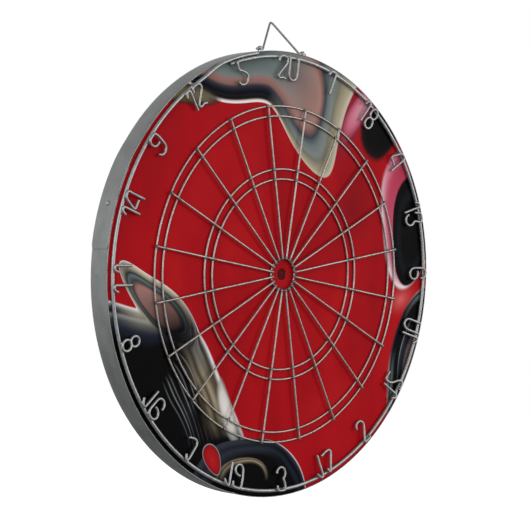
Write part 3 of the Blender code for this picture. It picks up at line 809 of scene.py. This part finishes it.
def make_nail():
    """A round-headed nail, its head dressed with a shallow ring from the punch that set it."""
    surface = BOARD_RADIUS + BAND_THICKNESS + 2 * GAP
    head, high = NAIL_HEAD_RADIUS, NAIL_HEAD_HEIGHT
    profile = [(0, 0.93 * high), (0.2 * head, 0.95 * high), (0.3 * head, 0.98 * high)]
    for i in range(1, 9):
        angle = math.radians(90 - 10 * i)
        profile.append((head * math.cos(angle) ** 0.8, high * math.sin(angle) ** 0.9))
    profile += [(head, 0.12 * high), (0.97 * head, 0.0), (NAIL_SHANK_RADIUS, 0.0)]
    profile += [(NAIL_SHANK_RADIUS, -0.86 * NAIL_LENGTH), (0, -NAIL_LENGTH)]
    sides = 32
    bm = bmesh.new()
    rings = []
    for radius, along in profile:
        if radius == 0:
            rings.append([bm.verts.new((0, 0, along))] * sides)
            continue
        turns = (2 * math.pi * k / sides for k in range(sides))
        rings.append([bm.verts.new((radius * math.cos(a), radius * math.sin(a), along)) for a in turns])
    for a, b in zip(rings, rings[1:]):
        for k in range(sides):
            n = (k + 1) % sides
            corners = list(dict.fromkeys((a[k], a[n], b[n], b[k])))
            bm.faces.new(corners)
    outward = polar(1, NAIL_DEG, 0)
    turn = outward.to_track_quat("Z", "Y").to_matrix().to_4x4()
    place = polar(surface, NAIL_DEG, FACE_Y / 2)
    bmesh.ops.transform(bm, matrix=Matrix.Translation(place) @ turn, verts=bm.verts)
    piece("lap_nail", mesh_of(bm, "lap_nail"), fitting_steel, "board", "fitting_steel", "band_nail")


# --- hanger ---------------------------------------------------------------------------------


def make_hanger():
    """The bail, bent round at its apex and feet, and its two wire staples."""
    lean = math.asin((-HANGER_AXIS.y - HANGER_WIRE_RADIUS - GAP) / HANGER_HEIGHT)
    right = [
        (HANGER_HALF_WIDTH * 0.09, HANGER_HEIGHT - 1.7 * MM),
        (HANGER_HALF_WIDTH, 2.4 * MM),
        (HANGER_HALF_WIDTH + 0.8 * MM, 0.8 * MM),
        (HANGER_HALF_WIDTH + 2.4 * MM, 0),
        (HANGER_FOOT_END, 0),
    ]
    outline = [(-x, up) for x, up in reversed(right)] + [(0, HANGER_HEIGHT)] + right
    line = [HANGER_AXIS + Vector((x, up * math.sin(lean), up * math.cos(lean))) for x, up in outline]
    line = resampled(rounded(line, 2.4 * MM), 0.9 * MM)
    mesh = wire_mesh("bail", line, HANGER_WIRE_RADIUS, 16)
    piece("bail", mesh, hanger_steel, "hanger", "hanger_wire", "hanger")

    rise = HANGER_WIRE_RADIUS + GAP + STAPLE_WIRE_RADIUS
    for side, x in (("left", -STAPLE_X), ("right", STAPLE_X)):
        half = [(STAPLE_HALF_SPAN, rise - STAPLE_LENGTH), (STAPLE_HALF_SPAN, rise)]
        outline = half + [(-y, z) for y, z in reversed(half)]
        line = [HANGER_AXIS + Vector((x, y, z)) for y, z in outline]
        line = resampled(rounded(line, 0.9 * MM), 0.5 * MM)
        name = "bail_staple_" + side
        mesh = wire_mesh(name, line, STAPLE_WIRE_RADIUS, 12)
        piece(name, mesh, fitting_steel, "board", "fitting_steel", "hanger_staple_" + side)


# --- spider ---------------------------------------------------------------------------------


def make_spider():
    """Five rings, and twenty wires spot-welded over them."""
    crossings = [90 - SECTOR_DEG * (i + 0.5) for i in range(len(NUMBERS))]
    for ring, radius in SPIDER_RINGS.items():
        count = max(72, round(2 * math.pi * radius / (3.5 * MM)))
        line = []
        for i in range(count):
            degrees = 360 * i / count
            spot = polar(radius / (60 * MM), degrees, radius * 30)
            off = 0.35 * MM * noise.noise(spot) if ring != "bull" else 0.2 * MM * noise.noise(spot * 6)
            line.append(polar(radius + off, degrees, RING_Y))
        name = "ring_" + ring
        mesh = wire_mesh(name, line, SPIDER_WIRE_RADIUS, 12, closed=True)
        joint = line[round(count * 0.62)]
        bead = bead_mesh(name + "_bead", [joint], (1.16 * MM, 1.1 * MM, 1.16 * MM))
        mesh = combined(name, mesh, [bead])
        piece(name, mesh, spider_steel, "board", "spider_wire", "spider_ring_" + ring)

    for i, number in enumerate(NUMBERS):
        following = NUMBERS[(i + 1) % len(NUMBERS)]
        degrees = crossings[i]
        ends = [polar(r, degrees, RADIAL_Y) for r in (RADIAL_START_RADIUS, RADIAL_END_RADIUS)]
        line = wandered(resampled(ends, 2.0 * MM), 0.22 * MM, 45 * MM, 3.1 * i)
        name = f"radial_{number}_{following}"
        wire = wire_mesh(name, line, SPIDER_WIRE_RADIUS, 12)
        weld_y = RADIAL_Y + 0.3 * MM
        welds = [polar(radius, degrees, weld_y) for radius in SPIDER_RINGS.values()]
        beads = bead_mesh(name + "_beads", welds, (1.75 * MM, 1.5 * MM, 1.75 * MM))
        mesh = combined(name, wire, [beads])
        piece(name, mesh, spider_steel, "board", "spider_wire", f"spider_wire_{number}_{following}")


# --- number ring ----------------------------------------------------------------------------
# Digits are drawn in millimetres, as in the CAD model: x to the right, y up, from 0 to TOP.

TOP = NUMBER_HEIGHT / MM
FLICK = 5.5


def arc(centre, radii, start, end, step=30.0):
    count = max(2, math.ceil(abs(end - start) / step))
    angles = [math.radians(start + (end - start) * i / count) for i in range(count + 1)]
    return [
        (centre[0] + radii[0] * math.cos(angle), centre[1] + radii[1] * math.sin(angle))
        for angle in angles
    ]


def hung_1():
    return [(-6.5, TOP - FLICK), (-4.5, TOP), (0, TOP), (0, 0.5)]


def wide_1():
    return [(-9.4, TOP - FLICK), (-7.2, TOP), (0, TOP), (0, 0.5)]


def stood_1():
    return [(-7.5, FLICK), (-3.5, 0), (0, 0), (0, TOP)]


def hung_2():
    bow = [(0, TOP - FLICK), (1.5, TOP), (8, TOP)] + arc((8, TOP - 4.5), (4, 4.5), 60, -30)
    return bow + [(0.5, 4.2), (1.2, 2.2), (4, 1.4), (7.5, 2.6), (11.5, 0.6)]


def stood_2():
    return arc((5.8, 17.6), (5.8, 5.7), 180, -30) + [(3, 4), (0.6, 0.8), (2.4, 0), (11, 0)]


def hung_3():
    brow = [(0.5, TOP - 9), (3.5, TOP), (11.5, TOP), (13, TOP - 3)]
    return brow + [(9, TOP - 11.5)] + arc((6.3, 6.2), (6.2, 6), 35, -180)


def stood_3():
    head = arc((6.2, 17), (6, 6.3), 180, -20) + [(8.4, 11.6), (10.6, 7.5), (11, 2.4)]
    return head + [(9.8, 0), (1.8, 0), (0.3, 1.5), (0.3, FLICK)]


def hung_4():
    stem = [(11.5, 0), (11.5, TOP), (4.6, TOP)]
    return stem + [(-1.2, TOP - 13), (-0.9, TOP - 15.4), (8.5, TOP - 16.6)]


def hung_5():
    back = [(10, TOP), (0.3, TOP), (0.8, TOP - 8), (5, TOP - 9.6)]
    return back + arc((5.6, 5.9), (6.9, 6.4), 60, -170)


def stood_5():
    head = [(11.5, TOP - 0.5), (2, TOP), (0.6, TOP - 3), (2, TOP - 9), (5.5, TOP - 12.5)]
    return head + [(10, 7), (12.2, 3), (11, 0), (2, 0)]


def six():
    hook = arc((5.6, TOP - 6.2), (5.6, 6.2), -15, 180)
    return hook + arc((6.2, 5.9), (6.2, 5.9), 180, 480)


def stood_7():
    return [(0, TOP - 3), (7, TOP), (11, TOP), (13.2, TOP - 3), (10.6, 2), (8.6, 0), (5.5, FLICK)]


def leaning_7():
    top = [(-1.8, TOP - 3.2), (7, TOP - 1), (11.5, TOP - 1), (13.2, TOP - 4)]
    return top + [(5.5, 1.5), (4, 0), (1.5, FLICK)]


def eight():
    lower = arc((6, 6.2), (5.4, 6.2), 0, 360)[:-1]
    upper = arc((6, TOP - 5.9), (4.9, 5.9), 0, 360)[:-1]
    return lower, upper


def hung_9():
    tail = arc((6.8, 6.4), (6.2, 6.1), -170, 0) + [(13, TOP - 6), (11.5, TOP - 0.6)]
    loop = [(10, TOP), (3.4, TOP), (1, TOP - 2.6), (1.2, TOP - 7), (3.6, TOP - 10)]
    return tail + loop + [(7, TOP - 11), (10, TOP - 10.6)]


def stood_9():
    foot = [(0.5, FLICK), (1.8, 0), (10.8, 0), (12.8, 2.4), (13.2, 9), (12.4, 16.5)]
    return foot + arc((6.7, 17.8), (5.4, 5.5), 15, 250) + [(9.4, 12)]


def hung_0():
    return [(0, TOP)] + arc((6, 6), (6, 6), 180, 360) + [(12, TOP)]


def stood_0():
    return [(0, 0)] + arc((5.8, TOP - 6), (5.8, 6), 180, 0) + [(11.6, 0)]


LAYOUT = {
    20: ((hung_2, -12.4), (hung_0, 2.8)),
    1: ((wide_1, 2.7),),
    18: ((hung_1, -5.0), (eight, -0.4)),
    4: ((hung_4, -6.2),),
    13: ((hung_1, -5.8), (hung_3, -2.3)),
    6: ((six, -6.3),),
    10: ((stood_1, -3.0), (stood_0, 1.8)),
    15: ((stood_1, -3.4), (stood_5, 0.8)),
    2: ((stood_2, -4.5),),
    17: ((stood_1, -5.2), (leaning_7, 1.1)),
    3: ((stood_3, -3.5),),
    19: ((stood_1, -3.6), (stood_9, 0.2)),
    7: ((stood_7, -7.0),),
    16: ((stood_1, -5.6), (six, 0.0)),
    8: ((eight, -5.9),),
    11: ((hung_1, -10.0), (hung_1, 8.2)),
    14: ((hung_1, -5.2), (hung_4, -1.6)),
    9: ((hung_9, -7.5),),
    12: ((hung_1, -3.4), (hung_2, -0.5)),
    5: ((hung_5, -3.3),),
}


def number_place(index, point):
    """Where a drawn point of one number is on the ring."""
    degrees = 90 - SECTOR_DEG * index
    clockwise = polar(1, degrees - 90, 0)
    stands = NUMBERS[index] in FEET_OUTWARD
    right = -clockwise if stands else clockwise
    inward = (point[1] if stands else TOP - point[1]) * MM
    y = NUMBER_Y + NUMBER_LEAN * inward / NUMBER_HEIGHT
    on_ring = polar(NUMBER_OUTSIDE_RADIUS - inward, degrees, y) + right * point[0] * MM
    return RING_CENTRE + on_ring


def make_number(index):
    """One number: its bent wires, with a weld wherever they lie on the hoop."""
    number = NUMBERS[index]
    hoop_side = 0 if number in FEET_OUTWARD else TOP
    wires, welds = [], []
    for digit, start in LAYOUT[number]:
        drawn = digit()
        closed = isinstance(drawn, tuple)
        for line in drawn if closed else (drawn,):
            points = [number_place(index, (x + start, y)) for x, y in line]
            path = resampled(rounded(points, 2.2 * MM, closed), 0.85 * MM, closed)
            path = wandered(path, 0.18 * MM, 9 * MM, 5.3 * index + len(wires))
            name = f"digits_{number}_{len(wires)}"
            wires.append(wire_mesh(name, path, NUMBER_WIRE_RADIUS, 12, closed))
            touching = [p for p in path if abs((p - RING_CENTRE).xz.length - HOOP_RADIUS) < 1.2 * MM]
            for place in touching:
                if all((place - weld).length > 5.0 * MM for weld in welds):
                    welds.append(place + Vector((0, NUMBER_WIRE_RADIUS, 0)))
    beads = [
        bead_mesh(f"digits_{number}_bead_{i}", [weld], (1.75 * MM, 1.15 * MM, 1.75 * MM))
        for i, weld in enumerate(welds)
    ]
    name = f"digits_{number}"
    # Painted shade round the welds, where the digits lie on the hoop.
    mesh = mark_joint_shade(combined(name, wires[0], wires[1:] + beads, folded=True), welds, 4.5 * MM)
    piece(name, mesh, number_steel, "number_ring", "number_wire", f"number_{number}")


def make_hoop():
    """The hoop, whose two ends lie side by side for a short way."""
    lap_pitch = 2 * HOOP_WIRE_RADIUS + 1.3 * GAP
    first, last = HOOP_LAP_DEG[0], HOOP_LAP_DEG[1] + 360
    count = 460
    line = []
    for i in range(count + 1):
        degrees = first + (last - first) * i / count
        radius = HOOP_RADIUS + lap_pitch * (1 - between(degrees, *HOOP_RAMP_DEG))
        line.append(RING_CENTRE + polar(radius, degrees, HOOP_Y))
    mesh = wire_mesh("hoop_wire", line, HOOP_WIRE_RADIUS, 16)
    ends = [RING_CENTRE + polar(HOOP_RADIUS + lap_pitch / 2, d, HOOP_Y) for d in (102.0, 108.5)]
    # Painted shade near the two ends, where they lie side by side.
    mark_joint_shade(mesh, ends, 6 * MM)
    piece("hoop_wire", mesh, number_steel, "number_ring", "number_wire", "number_hoop")


# --- stage, light and camera ----------------------------------------------------------------


def make_floor():
    """A plain pale floor under the board. It takes shadows but doesn't light the object."""
    bm = bmesh.new()
    bmesh.ops.create_circle(
        bm, cap_ends=True, segments=96, radius=1.6, matrix=Matrix.Translation((0, 0, -0.31))
    )
    floor = bpy.data.objects.new("floor", mesh_of(bm, "floor"))
    bpy.context.scene.collection.objects.link(floor)
    look = Look("floor", 0.9, Emission_Strength=0.62)
    look.set("Base Color", (0.9, 0.9, 0.89, 1.0))
    look.set("Emission Color", (1.0, 1.0, 1.0, 1.0))
    floor.data.materials.append(look.material)
    floor.visible_diffuse = floor.visible_glossy = False


def make_world():
    """White behind the object. As light it is bright at the horizon and darker above and below."""
    world = bpy.data.worlds.new("studio")
    bpy.context.scene.world = world
    world.use_nodes = True
    tree = world.node_tree
    tree.nodes.clear()

    def node(kind, **settings):
        made = tree.nodes.new("ShaderNode" + kind)
        for key, value in settings.items():
            setattr(made, key, value)
        return made

    split = node("SeparateXYZ")
    tree.links.new(node("TexCoord").outputs["Generated"], split.inputs[0])
    height = node("MapRange")
    height.inputs["From Min"].default_value = -1.0
    tree.links.new(split.outputs[2], height.inputs[0])
    ramp = node("ValToRGB")
    tree.links.new(height.outputs[0], ramp.inputs[0])
    stops = ((0.0, 0.14), (0.30, 0.35), (0.46, 0.85), (0.62, 1.05), (0.80, 0.62), (1.0, 0.34))
    for i, (position, value) in enumerate(stops):
        element = ramp.color_ramp.elements[i] if i < 2 else ramp.color_ramp.elements.new(position)
        element.position = position
        element.color = (value, value, value * 1.01, 1.0)
    light = node("Background")
    tree.links.new(ramp.outputs[0], light.inputs[0])
    plain = node("Background")
    plain.inputs[0].default_value = (1.0, 1.0, 1.0, 1.0)
    mix = node("MixShader")
    tree.links.new(node("LightPath").outputs["Is Camera Ray"], mix.inputs[0])
    tree.links.new(light.outputs[0], mix.inputs[1])
    tree.links.new(plain.outputs[0], mix.inputs[2])
    tree.links.new(mix.outputs[0], node("OutputWorld").inputs[0])


def make_light(name, place, size, watts):
    data = bpy.data.lights.new(name, "AREA")
    data.size, data.energy = size, watts
    lamp = bpy.data.objects.new(name, data)
    bpy.context.scene.collection.objects.link(lamp)
    lamp.location = place
    lamp.rotation_euler = (-Vector(place)).to_track_quat("-Z", "Y").to_euler()


def make_camera():
    data = bpy.data.cameras.new("camera")
    data.sensor_width, data.lens = 36.0, 111.67
    camera = bpy.data.objects.new("camera", data)
    bpy.context.scene.collection.objects.link(camera)
    right = Vector((0.71820, -0.69558, 0.01907))
    back = Vector((-0.69584, -0.71801, 0.01648))
    up = back.cross(right)
    place = Vector((-1.1650, -1.2017, 0.0364))
    turn = Matrix((right, up, back)).transposed().to_4x4()
    camera.matrix_world = Matrix.Translation(place) @ turn
    bpy.context.scene.camera = camera


make_sheets()
make_band()
make_nail()
make_hanger()
make_spider()
make_hoop()
for slot in range(len(NUMBERS)):
    make_number(slot)
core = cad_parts["wound_core"]
core.data.materials.clear()
core.data.materials.append(core_paper)

make_floor()
make_world()
make_light("left", (-1.5, -0.6, 0.5), 0.9, 7.0)
make_light("right", (1.3, -1.5, 0.3), 0.9, 9.0)
make_camera()
bpy.context.scene.view_settings.view_transform = "Standard"
